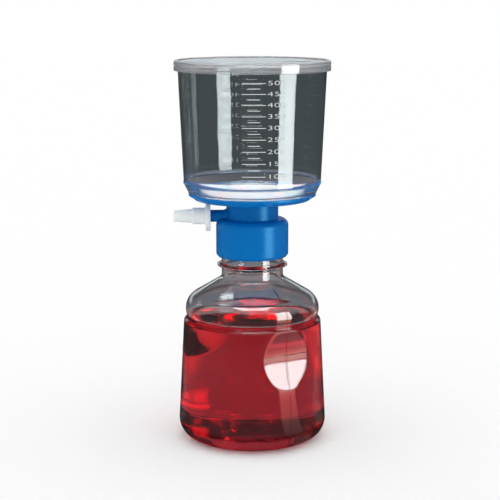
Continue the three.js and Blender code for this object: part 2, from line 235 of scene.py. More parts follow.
def outline(*parts, spacing=4.0, closed=False):
    """A dense outline of (radius, height) points, in millimetres. A part is a corner (radius,
    height, fillet) or a ready run of points. Each straight side gets points close to its ends, so
    that smooth shading stays on the corners, and others no further apart than the spacing."""
    end_gap, shortest = 0.12, 0.5
    plain = [part if isinstance(part, np.ndarray) else np.array([part[:2]], float)
             for part in parts]
    runs = []
    for i, part in enumerate(parts):
        sharp = len(part) < 3 or (not closed and i in (0, len(parts) - 1))
        if isinstance(part, np.ndarray) or sharp:
            runs.append(plain[i])
        else:
            after = plain[(i + 1) % len(parts)][0]
            runs.append(fillet(plain[i - 1][-1], plain[i][0], after, part[2]))
    made = []
    for i, run in enumerate(runs):
        made.append(run)
        if i + 1 == len(runs) and not closed:
            break
        start, end = run[-1], runs[(i + 1) % len(runs)][0]
        size = np.linalg.norm(end - start)
        if size > shortest:
            count = max(2, math.ceil((size - 2 * end_gap) / spacing) + 1)
            along = np.linspace(end_gap, size - end_gap, count)[:, None] / size
            made.append(start + (end - start) * along)
    return np.concatenate(made)


# ---- surfaces

def revolve(profile, steps=192, angles=None, closed=False, reshape=None):
    """The surface that an outline sweeps about +Z: x = r cos a, y = r sin a, z = height, on a
    grid of outline points by angles. reshape(radius, height, angle) may change the radius at each
    grid point. An end on the axis becomes one point with a fan of triangles. Returns (points in
    metres, quads, triangles)."""
    if angles is None:
        angles = np.linspace(0, 2 * np.pi, steps, endpoint=False)
    first, last = profile[0][0] == 0, profile[-1][0] == 0
    rings = profile[int(first):len(profile) - int(last)]
    radius, angle = np.meshgrid(rings[:, 0], angles, indexing="ij")
    height = np.repeat(rings[:, 1:], len(angles), 1)
    if reshape:
        radius = reshape(radius, height, angle)
    points = np.stack([radius * np.cos(angle), radius * np.sin(angle), height], -1)
    points = points.reshape(-1, 3)
    grid = np.arange(len(points)).reshape(radius.shape)
    low, high = (grid, np.roll(grid, -1, 0)) if closed else (grid[:-1], grid[1:])
    quads = np.stack([low, np.roll(low, -1, 1), np.roll(high, -1, 1), high], -1).reshape(-1, 4)
    triangles = []
    for on, ring, order in ((first, grid[0], 1), (last, grid[-1], -1)):
        if on:
            end = profile[0 if order > 0 else -1]
            pole = np.full(len(ring), len(points))
            points = np.vstack([points, [0, 0, end[1]]])
            fan = np.stack([pole, np.roll(ring, -1), ring], -1)
            triangles.append(fan if order > 0 else fan[:, [0, 2, 1]])
    triangles = np.concatenate(triangles) if triangles else np.zeros((0, 3), int)
    return points * MM, quads, triangles


def along_arm(surface, height):
    """Turns a revolved surface to run along -X at a height: (x, y, z) becomes (-z, y, x +
    height)."""
    points, quads, triangles = surface
    points = np.stack([-points[:, 2], points[:, 1], points[:, 0] + height * MM], -1)
    return points, quads, triangles


def joined(*surfaces):
    """Several surfaces as one, with their faces renumbered."""
    starts = np.cumsum([0] + [len(s[0]) for s in surfaces[:-1]])
    return tuple(
        np.concatenate([s[part] + (start if part else 0) for s, start in zip(surfaces, starts)])
        for part in range(3)
    )


def soft_least(a, b, blend):
    """The smaller of two lengths, rounded off where they differ by less than the blend: min(a, b) -
    h^2 blend / 4, with h = 1 - |a - b| / blend."""
    near = np.clip(1 - np.abs(a - b) / blend, 0, 1)
    return np.minimum(a, b) - near ** 2 * blend / 4


def screw(height, angle, start, radius, wall):
    """How far a thread of 1.5 turns stands off its wall: a ridge 1.3 mm deep, 1.7 mm wide at
    the root, that climbs 4.2 mm a turn and fades at both ends. Zero away from the wall."""
    turns, pitch, depth, half_root, flank = 1.5, 4.2, 1.3, 0.85, 0.5
    around = np.mod(angle, 2 * np.pi)
    stand = np.zeros_like(height)
    for lap in (0, 1):
        run = (around + 2 * np.pi * lap) / (2 * turns * np.pi)
        fade = np.clip(9 * np.minimum(run, 1 - run), 0, 1)
        off = np.abs(height - (start + turns * pitch * run))
        stand = np.maximum(stand, fade * np.clip((half_root - off) / flank, 0, 1) * depth)
    return np.where(np.abs(radius - wall) < 0.3, stand, 0)


def with_thread_rows(profile, wall, start, end, gap):
    """The outline with its straight wall between two of its points set out in close rows,
    which begin and end a gap further in. The two are named by their heights, in its order."""
    low, high = min(start, end) - 0.01, max(start, end) + 0.01
    on = np.flatnonzero((abs(profile[:, 0] - wall) < 1e-6)
                        & (profile[:, 1] > low) & (profile[:, 1] < high))
    gap = math.copysign(gap, end - start)
    heights = np.linspace(start + gap, end - gap, THREAD_ROWS)
    rows = np.stack([np.full(THREAD_ROWS, wall), heights], -1)
    return np.concatenate([profile[:on[0] + 1], rows, profile[on[-1]:]])


# ---- pieces

def mesh_object(name, surface, finish):
    """An object with the surface as its mesh, in the scene."""
    points, quads, triangles = surface
    mesh = bpy.data.meshes.new(name)
    mesh.from_pydata(points.tolist(), [], quads.tolist() + triangles.tolist())
    if mesh.validate():
        raise RuntimeError(f"{name} has faces that don't hold together")
    mesh.materials.append(finish.material)
    made = bpy.data.objects.new(name, mesh)
    bpy.context.scene.collection.objects.link(made)
    return made


def add_piece(name, surface, body, finish, replaces=()):
    """Adds a piece that rides on a body. It fills the box of the nodes it stands for, to 1 mm."""
    points = surface[0]
    piece = mesh_object(name, surface, finish)
    piece.data.shade_smooth()
    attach(piece, body)
    if replaces:
        boxes = [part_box(node) for node in replaces]
        low = np.min([b[0] for b in boxes], axis=0)
        high = np.max([b[1] for b in boxes], axis=0)
        miss = max(abs(points.min(0) - low).max(), abs(points.max(0) - high).max())
        if miss > 1.0 * MM:
            raise RuntimeError(f"{name} misses the box of {replaces} by {miss / MM:.2f} mm")
        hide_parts(*replaces)
    return piece


def finish_node(name, finish):
    """Gives a node of the frame its finish."""
    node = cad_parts[name]
    node.data.materials.clear()
    node.data.materials.append(finish.material)


class Finish:
    """A material in the making: one Principled shader and the pattern nodes that feed it."""

    def __init__(self, name, **sockets):
        self.material = bpy.data.materials.new(name)
        self.material.use_nodes = True
        self.tree = self.material.node_tree
        self.shader = self.tree.nodes["Principled BSDF"]
        self.place = self.node("TexCoord").outputs["Object"]
        for socket, value in sockets.items():
            self.set(socket.replace("_", " "), value)

    def set(self, socket, value):
        """Sets a socket of the shader, or feeds it from a node's output."""
        self.feed(self.shader.inputs[socket], value)

    def feed(self, socket, value):
        if isinstance(value, bpy.types.NodeSocket):
            self.tree.links.new(value, socket)
        elif hasattr(socket.default_value, "__len__") and len(value) < len(socket.default_value):
            socket.default_value = (*value, 1.0)
        else:
            socket.default_value = value

    def node(self, kind, inputs=None, **settings):
        """Adds a node, with its settings and its inputs by name or number."""
        made = self.tree.nodes.new("ShaderNode" + kind)
        for key, value in settings.items():
            setattr(made, key, value)
        for key, value in (inputs or {}).items():
            self.feed(made.inputs[key], value)
        return made

    def stretched(self, scale):
        """The object's coordinates, each times its scale."""
        return self.node("Mapping", {"Vector": self.place, "Scale": scale}).outputs["Vector"]

    def noise(self, scale, detail=3.0, where=None, rough=0.5):
        """Smooth random values from 0 to 1."""
        return self.node("TexNoise", {
            "Vector": where or self.place, "Scale": scale, "Detail": detail, "Roughness": rough,
        }).outputs["Fac"]

    def ranged(self, value, low, high, start=0.0, end=1.0):
        """A value between two limits, mapped to new ones."""
        return self.node("MapRange", {
            "Value": value, "From Min": low, "From Max": high, "To Min": start, "To Max": end,
        }).outputs["Result"]

    def maths(self, operation, *values):
        return self.node("Math", dict(enumerate(values)), operation=operation).outputs[0]

    def distance(self, where=None):
        """How far a place is from the origin."""
        made = self.node("VectorMath", {0: where or self.place}, operation="LENGTH")
        return made.outputs["Value"]

    def ramp(self, value, *stops):
        """Colours along a value, from stops of (value, colour)."""
        made = self.node("ValToRGB", {"Fac": value})
        bar = made.color_ramp
        bar.elements[0].position, bar.elements[1].position = stops[0][0], stops[-1][0]
        for at, _ in stops[1:-1]:
            bar.elements.new(at)
        for element, (_, tone) in zip(bar.elements, stops):
            element.color = (*tone, 1)
        return made.outputs["Color"]

    def mixed(self, factor, first, second):
        """Two colours mixed by a factor."""
        inputs = {"Factor": factor, 6: first, 7: second}
        return self.node("Mix", inputs, data_type="RGBA").outputs[2]

    def mottle(self, pattern, tone, shade, low=0.3, high=0.7):
        """Colours the shader along a pattern, from a tone to a share of it or another tone."""
        other = [part * shade for part in tone] if isinstance(shade, float) else shade
        self.set("Base Color", tone)
        self.set("Base Color", self.mixed(self.ranged(pattern, low, high), tone, other))

    def roughen(self, pattern, smooth, rough, low=0.3, high=0.7):
        """Varies the shader's roughness along a pattern."""
        self.set("Roughness", self.ranged(pattern, low, high, smooth, rough))

    def send(self, shader, socket):
        """Links a shader node to a socket of the material's output."""
        self.feed(self.tree.nodes["Material Output"].inputs[socket], shader.outputs[0])

    def bump(self, height, distance):
        """Adds relief of that height, in metres, to any that is there."""
        made = self.node("Bump", {"Height": height, "Distance": distance, "Strength": 1.0})
        normal = self.shader.inputs["Normal"]
        if normal.is_linked:
            self.tree.links.new(normal.links[0].from_socket, made.inputs["Normal"])
        self.tree.links.new(made.outputs["Normal"], normal)


def clear_styrene(name, tint, flow=1.0, haze=0.012, cloud=0.0):
    """Clear moulded polystyrene with faint flow lines, slow waves and a few rubbed patches."""
    made = Finish(name, Base_Color=tint, Transmission_Weight=1.0 - cloud, IOR=1.59)
    made.bump(made.noise(22, 2), 0.0006 * flow)
    made.bump(made.noise(1, 3, made.stretched((420, 420, 26)), 0.6), 0.000012 * flow)
    made.roughen(made.noise(90, 5, rough=0.65), 0.0, haze, 0.5, 0.8)
    return made


# ---- the bottle

def body_radius(s, height):
    """Outside radius of the bottle's body at a height: it shrinks evenly from base to ledge."""
    base, top, body = millimetres(s, "base_radius", "top_radius", "body_height")
    return base - (base - top) * (height - CORNER_TOP) / (body - CORNER_TOP)


def recess_face(s, height, angle, inset):
    """Distance from the axis to a thumb recess, pressed by a level round tool: (d - sqrt(t^2 -
    h^2)) / cos a, with the tool's radius t and distance d, the height h from its middle and the
    angle a from its direction."""
    depth, middle, tool = millimetres(s, "recess_depth", "recess_height", "recess_tool")
    off = height - middle
    face = (body_radius(s, middle) - depth + tool
            - np.sqrt(np.maximum((tool + inset) ** 2 - off ** 2, 1)))
    nowhere, faces = 999, []
    for side in (0, math.pi):
        across = np.cos(angle - (s.recess_turn - math.pi / 2 + side))
        faces.append(np.where(across > 0.5, face / np.maximum(across, 0.5), nowhere))
    return np.minimum(*faces)


def pressed(s, radius, height, angle, inset):
    """The wall's radius with the thumb recesses pressed in, between its base corner and the
    groove above its ledge."""
    low, high = 20, s.body_height / MM + 1.5
    face = soft_least(radius, recess_face(s, height, angle, inset), 0.8)
    return np.where((height > low) & (height < high), face, radius)


def bottle_run(s, inset, floor):
    """The bottle's outline up to the foot of the neck, moved inwards by an inset, with its floor
    at a height."""
    base, top, body, neck = millimetres(
        s, "base_radius", "top_radius", "body_height", "neck_radius")
    corner_width, groove_depth, bulge_radius, edge, fillet_radius, slope = 11, 2.1, 12, 0.9, 4, 59
    groove, bulge = top - groove_depth - inset, bulge_radius - inset
    middle = (top - bulge_radius - 1.3, body + 7.7)
    start = -math.degrees(math.acos((groove - middle[0]) / bulge))
    foot = neck + fillet_radius
    lean = math.radians(slope)
    neck_start = (middle[0] * math.cos(lean) + middle[1] * math.sin(lean) + bulge_radius
                  + fillet_radius - foot * math.cos(lean)) / math.sin(lean)
    corner = sweep(base - corner_width, CORNER_TOP, corner_width - inset, CORNER_TOP - floor,
                   -90, -4, 18)
    ledge = sweep(top - edge - inset, body - edge, edge, edge, 0, 78, 7)
    shoulder = sweep(*middle, bulge, bulge, start + 4, slope, 22)
    fillet_run = sweep(foot, neck_start, fillet_radius + inset, fillet_radius + inset,
                       180 + slope, 180, 14)
    wall = corner[-1] + (ledge[0] - corner[-1]) * np.linspace(0.01, 0.99, 76)[:, None]
    return corner, wall, ledge, (groove, body + 1.6, edge), shoulder, fillet_run, neck_start


def bottle_angles(s, count):
    """Angles round the bottle, twice as close at the recesses: a = u - sin(2 (u - r)) / 4, with r
    the recess's direction."""
    even = np.linspace(0, 2 * np.pi, count, endpoint=False)
    return even - np.sin(2 * (even - s.recess_turn + math.pi / 2)) / 4


class Maker(Operator):
    """An operator that builds from the scene's settings"""

    def execute(self, context):
        self.build(context.scene.filtration)
        return {"FINISHED"}


class FILTRATION_OT_bottle(Maker):
    """Shape the receiver bottle: body, recesses, shoulder, neck, transfer ring and thread"""

    bl_idname = "filtration.bottle"
    bl_label = "Receiver Bottle"

    def build(self, unit):
        s = unit.bottle
        wall, floor, neck = millimetres(s, "wall", "floor", "neck_radius")
        corner, side, ledge, groove, shoulder, foot, start = bottle_run(s, 0, 0)
        inner = bottle_run(s, wall, floor)
        ring, reach = start + 6.3, neck + 3.15
        threaded = (129.6, 139.4)
        profile = outline(
            (0, 0), (14, 0, 0.6), (16, 0.9, 0.9), (31, 0.9, 0.9), (33, 0, 0.6),
            corner, side, ledge, groove, shoulder, foot,
            (neck, ring - 2, 0.8), (reach, ring - 0.25, 0.22), (reach, ring + 0.25, 0.22),
            (neck, ring + 2, 0.8), *((neck, height) for height in threaded),
            (neck, LIP, 0.7), (neck - wall, LIP, 0.7),
            inner[5][::-1], inner[4][::-1], inner[3], inner[2][::-1], inner[1][::-1],
            inner[0][::-1], (0, floor), spacing=5,
        )
        profile = with_thread_rows(profile, neck, *threaded, 0.3)

        def reshape(radius, height, angle):
            """Presses the recesses into the wall and raises the neck's thread."""
            inset = np.where(radius < body_radius(s, height) - wall / 2, wall, 0.0)
            radius = pressed(s, radius, height, angle, inset)
            return radius + screw(height, angle, start + 17.5, radius, neck)

        surface = revolve(profile, angles=bottle_angles(s, 212), reshape=reshape)
        made = clear_styrene("bottle_styrene", s.tint, flow=1.0)
        x, y, _ = made.node("SeparateXYZ", {0: made.place}).outputs
        across = made.maths("ADD", made.maths("MULTIPLY", x, math.cos(s.recess_turn)),
                            made.maths("MULTIPLY", y, math.sin(s.recess_turn)))
        seam = made.ranged(made.maths("ABSOLUTE", across), 0.0001, 0.00035, 1.0, 0.0)
        made.bump(seam, 0.00006)
        add_piece("bottle_shell", surface, "bottle", made,
                  ["receiver_bottle"])


class FILTRATION_OT_filtrate(Maker):
    """Fill the bottle with the red filtrate, its meniscus and the bubbles on it"""

    bl_idname = "filtration.filtrate"
    bl_label = "Filtrate"

    def build(self, unit):
        s, b = unit.filtrate, unit.bottle
        level, bite, climb = millimetres(s, "level", "bite", "meniscus")
        inset, floor = b.wall / MM - bite, b.floor / MM - bite
        corner, side, ledge, groove, shoulder, _, _ = bottle_run(b, inset, floor)
        wall = outline(groove, shoulder, spacing=1)
        wall = wall[wall[:, 1] < level]
        edge = wall[-1, 0]
        reach = np.linspace(0, 1, 26)[1:]
        surface = np.stack([edge * (1 - reach), level + climb * np.exp(-reach * edge / 1.6)], -1)
        profile = np.concatenate([
            [[0, floor]], corner, side, ledge, wall, [[edge, level + climb]], surface,
        ])

        def reshape(radius, height, angle):
            """Follows the thumb recesses on the inside of the wall."""
            return pressed(b, radius, height, angle, inset)

        made = Finish("red_filtrate", Base_Color=(1, 0.97, 0.97), Transmission_Weight=1.0,
                      IOR=1.335, Roughness=0.0)
        made.bump(made.noise(60, 2), 0.0002)
        take = made.node("VolumeAbsorption", {"Color": s.colour, "Density": s.strength})
        made.send(take, "Volume")
        body = revolve(profile, angles=bottle_angles(b, 240), reshape=reshape)
        add_piece("filtrate_body", body, "bottle", made, ["filtrate"])

        draw = np.random.default_rng(12)
        foam = []
        for _ in range(s.bubbles):
            size = draw.uniform(0.35, 1.0)
            way = math.radians(draw.uniform(-152, -112))
            out = edge - 1.2 - size - abs(draw.normal(0, 2.2))
            ball = outline((0, -size), sweep(0, 0, size, size, -75, 75, 9), (0, size), spacing=9)
            points, quads, triangles = revolve(ball, 16)
            points = points + np.array([out * math.cos(way), out * math.sin(way),
                                        level + 0.45 * size]) * MM
            foam.append((points, quads, triangles))
        if foam:
            film = Finish("bubble_film", Base_Color=(1, 0.8, 0.8), Transmission_Weight=1.0,
                          IOR=1.2, Roughness=0.03)
            film.bump(film.noise(800, 2), 0.00005)
            add_piece("filtrate_bubbles", joined(*foam), "bottle", film)


# ---- the blue housing

class FILTRATION_OT_housing(Maker):
    """Shape the blue housing: threaded collar, stem, dish, drain and side arm"""

    bl_idname = "filtration.housing"
    bl_label = "Filter Housing"

    def build(self, unit):
        s = unit.housing
        collar, bore, depth, stem, dish, arm, arm_bore = millimetres(
            s, "collar_radius", "collar_bore", "collar_depth", "stem_radius", "dish_radius",
            "arm_radius", "arm_bore")
        base, hollow, threaded = CEILING, stem - 1.8, (137.4, 127.2)
        stem_top, rim, land = base + 14.9, base + 19.0, base + 20.9
        profile = outline(
            (bore + 0.7, base - depth, 0.3), (collar - 1.2, base - depth, 0.6),
            sweep(collar - 2.3, base - depth + 2.3, 2.3, 2.3, -50, 0, 7),
            sweep(collar - 4.4, base - 1.4, 4.4, 4.4, 0, 84, 12),
            sweep(stem + 1, base + 4.1, 1, 1, 264, 180, 8),
            (stem, stem_top, 1.0), (39.0, base + 16.4, 1.2), (dish - 1.4, rim, 0.9),
            (dish, rim, 0.35), (dish, land, 0.25), (dish - 4.6, land, 0.25),
            (dish - 4.6, base + 18.0, 0.3), (dish - 6.8, base + 18.0, 0.2),
            (dish - 7.2, base + 17.5, 0.2), (6, base + 16.5, 0.5), (5, base + 15.6, 0.5),
            (5, base - 0.1, 0.2), (5.7, base - 0.1, 0.2), (6.6, base + 2.9, 0.5),
            (6.6, stem_top, 0.8), (hollow, stem_top, 1.0), (hollow, base, 0.3),
            (bore, base, 0.4), *((bore, height) for height in threaded),
            (bore, base - depth + 1, 0.3), closed=True, spacing=3,
        )
        profile = with_thread_rows(profile, bore, *threaded, 0.2)

        def reshape(radius, height, angle):
            """Raises the collar's thread, half a pitch under the neck's."""
            return radius - screw(height, angle, LIP - 17.7, radius, bore)

        spigot = PORT_FACE + 8.15
        branch = outline(
            (arm_bore, stem - 1.0), (arm + 1.4, stem - 1.0), (arm, stem + 1.6, 2.5),
            (arm, PORT_FACE - SEAT, 0.2), (arm - 0.5, PORT_FACE - SEAT, 0.1),
            (arm - 0.5, spigot, 0.4), (arm_bore, spigot, 0.2), closed=True, spacing=4,
        )
        surface = joined(
            revolve(profile, 224, closed=True, reshape=reshape),
            along_arm(revolve(branch, 72, closed=True), PORT_HEIGHT),
        )
        made = Finish("blue_moulding", IOR=1.49, Specular_Tint=(0.2, 0.7, 1.0))
        made.mottle(made.noise(14, 3), s.colour, 0.86)
        made.roughen(made.noise(160, 4), 0.24, 0.34, 0.3, 0.75)
        made.bump(made.noise(2600, 2, rough=0.6), 0.00001)
        made.bump(made.noise(1, 2, made.stretched((160, 160, 900)), 0.5), 0.00002)
        add_piece("housing_moulding", surface, "upper_unit", made,
                  ["filter_housing"])


class FILTRATION_OT_adapter(Maker):
    """Shape the white hose adapter that is pushed on the side arm"""

    bl_idname = "filtration.adapter"
    bl_label = "Hose Adapter"

    def build(self, unit):
        s = unit.adapter
        flange, barrel, tail, tip, bore = millimetres(
            s, "flange_radius", "barrel_radius", "tail_radius", "tip_radius", "bore")
        start, end, socket = PORT_FACE, PORT_TIP, 3.75
        profile = outline(
            (socket + 0.3, start, 0.1), (flange - 0.1, start, 0.45),
            (flange, start + 1.1, 0.3), (flange - 0.45, start + 1.55, 0.3),
            (flange, start + 2.0, 0.3), (flange - 0.1, start + 3.15, 0.45),
            (barrel + 0.3, start + 3.15, 0.7), (barrel, start + 4.35, 0.4),
            (barrel, start + 12.15, 0.45), (tail, start + 12.15, 0.35), (tip, end, 0.7),
            (bore, end, 0.25), (bore, start + 13.05, 0.2), (socket, start + 12.25, 0.2),
            (socket, start + 0.3, 0.1), closed=True, spacing=2,
        )
        surface = along_arm(revolve(profile, 128, closed=True), PORT_HEIGHT)
        made = Finish("white_polypropylene", IOR=1.49, Subsurface_Weight=0.35,
                      Subsurface_Scale=0.004, Subsurface_Radius=(1.0, 1.0, 1.0))
        made.mottle(made.noise(130, 3), s.colour, 0.93)
        made.roughen(made.noise(300, 3), 0.28, 0.45)
        made.bump(made.noise(1600, 2), 0.000012)
        add_piece("hose_adapter_moulding", surface, "hose_adapter", made,
                  ["hose_adapter"])


# ---- funnel and lid

def funnel_radius(s, height):
    """Outside radius of the funnel's wall at a height in millimetres."""
    bottom, chamfer = millimetres(s, "bottom_radius", "chamfer")
    return bottom + (height - FUNNEL_FOOT - chamfer) * math.tan(s.draft)


class FILTRATION_OT_funnel(Maker):
    """Shape the clear funnel: chamfered foot, bead, drafted wall, rim and floor ring"""

    bl_idname = "filtration.funnel"
    bl_label = "Funnel"

    def build(self, unit):
        s = unit.funnel
        wall, foot, bottom, chamfer, hole = millimetres(
            s, "wall", "foot_radius", "bottom_radius", "chamfer", "hole")
        z, top = FUNNEL_FOOT - SEAT - 0.04, FUNNEL_TOP      # welded: 0.04 mm into the dish
        bead, mouth = z + chamfer, funnel_radius(s, top)
        profile = outline(
            (hole, z, 0.2), (foot, z, 0.3), (bottom, bead, 0.4), (bottom + 0.5, bead + 0.5, 0.25),
            (funnel_radius(s, bead + 1.2), bead + 1.2, 0.5),
            (funnel_radius(s, top - 3.7), top - 3.7, 0.5),
            (mouth + 0.9, top - 2.8, 0.3), (mouth + 0.9, top, 0.6), (mouth - wall, top, 0.5),
            (funnel_radius(s, z + 9) - wall, z + 9, 5),
            (hole + 3.4, z + 1.7, 1.6), (hole, z + 1.5, 0.4), closed=True, spacing=5,
        )
        made = clear_styrene("funnel_styrene", s.tint, flow=0.7)
        add_piece("funnel_shell", revolve(profile, 256, closed=True), "upper_unit",
                  made, ["funnel"])


class FILTRATION_OT_lid(Maker):
    """Shape the clear lid: panel, raised rim, skirt, centring ring and snap lugs"""

    bl_idname = "filtration.lid"
    bl_label = "Lid"

    def build(self, unit):
        s, f = unit.lid, unit.funnel
        panel, skirt, depth = millimetres(s, "panel", "skirt", "skirt_depth")
        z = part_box("lid")[0].z / MM + depth
        inner = funnel_radius(f, FUNNEL_TOP) + 1.2
        outer = inner + skirt
        ring = funnel_radius(f, FUNNEL_TOP) - f.wall / MM - 0.5
        profile = outline(
            (0, z), (ring - 1.1, z, 0.3), (ring - 1.1, z - 1.6, 0.3), (ring - 0.3, z - 1.6, 0.3),
            (ring, z, 0.2), (inner, z, 0.4), (inner, z - depth, 0.25),
            (outer, z - depth, 0.35), (outer, z + panel + 0.6, 0.9),
            (outer - 2, z + panel + 0.6, 0.3), (outer - 2.6, z + panel, 0.4), (0, z + panel),
            spacing=1.2,
        )

        def reshape(radius, height, angle):
            """Sets the snap lugs inside the skirt, each 0.2 mm proud and 6 mm long."""
            pitch = 2 * math.pi / max(s.lugs, 1)
            off = np.abs(np.mod(angle + math.pi / 2 + pitch / 2, pitch) - pitch / 2) * inner
            over = height - (z - depth)
            window = np.clip((3.2 - off) / 0.5, 0, 1) * np.clip((1.5 - over) / 0.3, 0, 1)
            lug = (np.abs(radius - inner) < 0.35) & (over < 1.6) & (s.lugs > 0)
            return np.where(lug, radius - 0.2 * window, radius)

        made = clear_styrene("lid_styrene", s.tint, flow=1.2, haze=0.03, cloud=0.11)
        add_piece("lid_shell", revolve(profile, 288, reshape=reshape), "lid",
                  made, ["lid"])


class FILTRATION_OT_graduations(Maker):
    """Print the volume marks and figures on the front and back of the funnel"""

    bl_idname = "filtration.graduations"
    bl_label = "Graduations"

    def build(self, unit):
        s, f = unit.print, unit.funnel
        long, short, stroke, tall, ink = millimetres(
            s, "long_mark", "short_mark", "stroke", "figure_height", "ink")
        volumes = np.arange(75, 501, 25)
        # heights of the marks from 75 to 500 mL, which close up as the funnel widens
        heights = np.interp(volumes, [75, *range(100, 501, 50)],
                            [181.4, 185.5, 193.8, 201.6, 209.4, 216.9, 224.3, 231.5, 238.5, 245.4])

        def wrapped(flat, side):
            """Lays flat points (across, up, proud) on the funnel's wall, about -Y or +Y, with
            angle = across / radius."""
            radius = funnel_radius(f, flat[:, 1])
            angle = flat[:, 0] / radius + side - math.pi / 2
            radius = radius + 0.02 + flat[:, 2]
            return np.stack([radius * np.cos(angle), radius * np.sin(angle), flat[:, 1]], -1) * MM

        def bar(width, height):
            """A printed line: a slab on a grid of 25 by 2 by 2 points, thinner at its ends."""
            u = np.linspace(-1, 1, 25)
            half = stroke / 2 * np.sqrt(1 - 0.75 * np.clip((np.abs(u) - 0.96) / 0.04, 0, 1) ** 2)
            ring = np.stack([np.stack([u * width / 2, height + v * half, np.full(25, w * ink)], -1)
                             for v, w in ((-1, 0), (1, 0), (1, 1), (-1, 1))], 1)
            grid = np.arange(100).reshape(25, 4)
            quads = np.stack([grid[:-1], grid[1:], np.roll(grid[1:], -1, 1),
                              np.roll(grid[:-1], -1, 1)], -1).reshape(-1, 4)
            caps = np.array([grid[0], grid[-1][::-1]])
            return ring.reshape(-1, 3), np.concatenate([quads, caps]), np.zeros((0, 3), int)

        def figure(text, height):
            """A printed number, right of the long mark, in Blender's own plain letters."""
            curve = bpy.data.curves.new(text, "FONT")
            capital, stretch, gap = 0.72, 2.0, 0.7
            curve.body, curve.size, curve.align_y = text, tall / capital, "CENTER"
            curve.extrude, curve.offset, curve.space_character = ink / 2, -0.06, 1.07
            holder = bpy.data.objects.new(text, curve)
            bpy.context.scene.collection.objects.link(holder)
            bpy.context.view_layer.update()
            mesh = bpy.data.meshes.new_from_object(
                holder.evaluated_get(bpy.context.evaluated_depsgraph_get()))
            mesh.calc_loop_triangles()
            points = np.array([vertex.co for vertex in mesh.vertices]) * [stretch, 1, 1]
            faces = np.array([tuple(face.vertices) for face in mesh.loop_triangles])
            bpy.data.objects.remove(holder)
            bpy.data.meshes.remove(mesh)
            bpy.data.curves.remove(curve)
            return points + [long / 2 + gap, height, ink / 2], np.zeros((0, 4), int), faces

        marks = []
        for volume, height in zip(volumes, heights):
            marks.append(bar(short if volume % 50 else long, height))
            if volume % 50 == 0:
                marks.append(figure(str(volume), height))
        points, quads, triangles = joined(*marks)
        sides = [(wrapped(points, side), quads, triangles)
                 for side in (s.front_turn, math.pi + s.back_turn)]
        made = Finish("white_ink", IOR=1.45)
        patchy = made.noise(900, 3)
        made.mottle(patchy, s.colour, 0.8, 0.35)
        made.roughen(patchy, 0.5, 0.7)
        made.bump(made.noise(3000, 1), 0.000005)
        piece = add_piece("funnel_graduations", joined(*sides), "upper_unit",
                          made)
        piece.data.shade_flat()


# ---- discs, seal and plug

class FILTRATION_OT_discs(Maker):
    """Shape the filter membrane, and finish the drain plate, the gasket and the cotton plug"""

    bl_idname = "filtration.discs"
    bl_label = "Membrane, Plate, Gasket and Plug"

    def build(self, unit):
        s = unit.disc
        radius, thickness = millimetres(s, "radius", "thickness")
        z = MEMBRANE_TOP
        profile = outline((0, z - thickness), (radius, z - thickness, 0.08), (radius, z, 0.12),
                          (0, z), spacing=1.0)
        made = Finish("membrane_film", IOR=1.4, Roughness=0.8, Subsurface_Weight=0.2,
                      Subsurface_Scale=0.001)
        made.mottle(made.noise(70, 4), s.colour, 0.95)
        made.bump(made.noise(2200, 3, rough=0.7), 0.00002)
        made.bump(made.noise(45, 2), 0.00025)
        add_piece("membrane_disc", revolve(profile, 192), "upper_unit",
                  made, ["membrane"])

        plate = Finish("drain_plate", IOR=1.49)
        plate.roughen(plate.noise(240, 3), 0.35, 0.55)
        plate.mottle(plate.noise(60, 3), (0.76, 0.8, 0.79), (0.68, 0.73, 0.72))
        plate.bump(plate.noise(1500, 2), 0.00002)
        finish_node("support_plate", plate)

        seal = Finish("gasket_elastomer", IOR=1.45, Sheen_Weight=0.2)
        seal.roughen(seal.noise(400, 4), 0.6, 0.85)
        seal.mottle(seal.noise(150, 3), (0.62, 0.6, 0.55), (0.54, 0.52, 0.47))
        seal.bump(seal.noise(1800, 3), 0.00003)
        finish_node("neck_gasket", seal)

        wool = Finish("cotton_wool", IOR=1.45, Roughness=1.0, Sheen_Weight=0.5)
        fibres = wool.noise(1, 6, wool.stretched((900, 3200, 2800)), 0.75)
        wool.mottle(fibres, (0.9, 0.89, 0.85), (0.68, 0.66, 0.6), 0.35)
        wool.bump(fibres, 0.0002)
        finish_node("port_plug", wool)


# ---- stage

def lamp(name, place, aim, size, strength, sees, tint=(1, 1, 1)):
    """A rectangular light, its strength the brightness of its face: power = strength x area x
    pi."""
    light = bpy.data.lights.new(name, "AREA")
    light.shape, light.size, light.size_y = "RECTANGLE", size[0], size[1]
    light.energy = strength * size[0] * size[1] * math.pi
    light.color = tint
    made = bpy.data.objects.new(name, light)
    made.location = place
    made.rotation_euler = (Vector(aim) - Vector(place)).to_track_quat("-Z", "Y").to_euler()
    bpy.context.scene.collection.objects.link(made)
    made.visible_camera = False
    for kind in ("diffuse", "glossy", "transmission"):
        setattr(made, "visible_" + kind, kind in sees)
    return made


def surround(name, surface, sees, finish):
    """A piece of the stage, seen only by the named kinds of ray."""
    made = mesh_object(name, surface, finish)
    for kind in ("camera", "diffuse", "glossy", "transmission", "shadow", "volume_scatter"):
        setattr(made, "visible_" + kind, kind in sees)
    return made


def glow(name, pattern=None, colour=(1, 1, 1)):
    """A plain emitting material. pattern(finish) may give its colour."""
    made = Finish(name)
    made.send(made.node("Emission", {"Color": pattern(made) if pattern else colour}), "Surface")
    made.tree.nodes.remove(made.shader)
    return made


